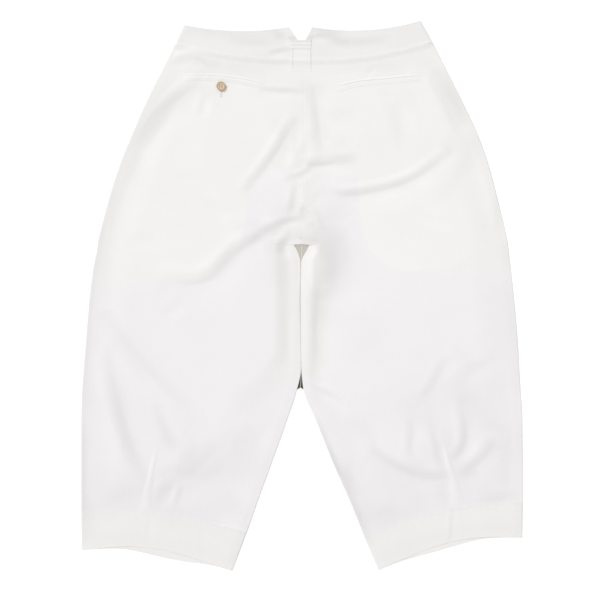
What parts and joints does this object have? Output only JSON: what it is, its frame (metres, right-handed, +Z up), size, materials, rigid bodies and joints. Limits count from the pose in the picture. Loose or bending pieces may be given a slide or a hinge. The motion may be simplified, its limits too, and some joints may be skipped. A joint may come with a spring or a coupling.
{
  "type": "cropped balloon-leg trousers",
  "caption": "White cotton cropped trousers with full tapering legs, laid flat on their front with the back showing.",
  "frame": {"origin": "middle of the garment's outline, on the surface that it lies on", "axes": "+Y up the garment from the hems to the waist, +X towards the wearer's right side, +Z up from the surface, so the back of the garment faces +Z"},
  "size_m": [0.662, 0.825, 0.0101],
  "materials": {
    "cotton": "matt plain-weave cotton",
    "band_cotton": "matt plain-weave cotton, interfaced",
    "pocketing": "matt fine cotton",
    "button": "satin mottled tan, like corozo or horn"
  },
  "bodies": {
    "root": {"back_left": "cotton", "back_right": "cotton", "front_left": "cotton", "front_right": "cotton", "fly_shield": "cotton", "hem_tuck_left": "cotton", "hem_tuck_right": "cotton", "waistband_back_left": "band_cotton", "waistband_back_right": "band_cotton", "waistband_front_left": "band_cotton", "waistband_front_right": "band_cotton", "hem_band_back_left": "band_cotton", "hem_band_back_right": "band_cotton", "hem_band_front_left": "band_cotton", "hem_band_front_right": "band_cotton", "belt_loop": "band_cotton", "welt_left_upper": "band_cotton", "welt_left_lower": "band_cotton", "welt_right_upper": "band_cotton", "welt_right_lower": "band_cotton", "pocket_bag_left": "pocketing", "pocket_bag_right": "pocketing", "button": "button"}
  },
  "joints": []
}
